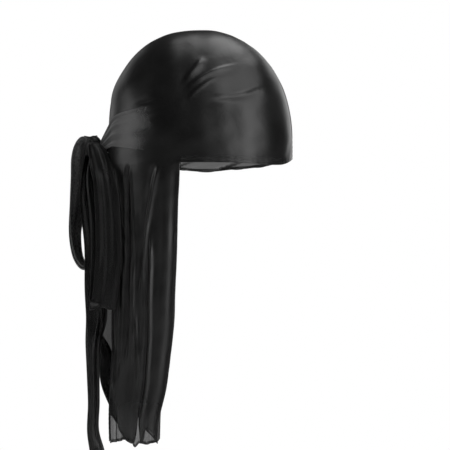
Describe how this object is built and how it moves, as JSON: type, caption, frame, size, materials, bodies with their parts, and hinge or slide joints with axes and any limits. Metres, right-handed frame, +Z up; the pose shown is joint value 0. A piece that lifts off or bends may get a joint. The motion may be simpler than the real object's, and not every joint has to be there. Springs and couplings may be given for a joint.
{
  "type": "durag",
  "caption": "Satin head wrap with a long pleated flap from the nape and side ties gathered into a hanging bow at the back.",
  "frame": {"origin": "middle of the head opening at the height of the rim over the ears", "axes": "+X towards the forehead, +Y to the wearer's left, +Z up"},
  "size_m": [0.2388, 0.1559, 0.4487],
  "materials": {
    "panel_satin": "thin black satin with a soft sheen",
    "tie_satin": "black satin, folded along its length",
    "knot_satin": "black satin, tightly wrinkled",
    "seam_thread": "black stitched welt"
  },
  "bodies": {
    "root": {"right_panel": "panel_satin", "left_panel": "panel_satin", "centre_seam": "seam_thread", "tie_right": "tie_satin", "tie_left": "tie_satin", "knot": "knot_satin", "bow_loop_outer": "tie_satin", "bow_loop_near": "tie_satin", "tie_tail_back": "tie_satin", "tie_tail_far": "tie_satin"}
  },
  "joints": []
}
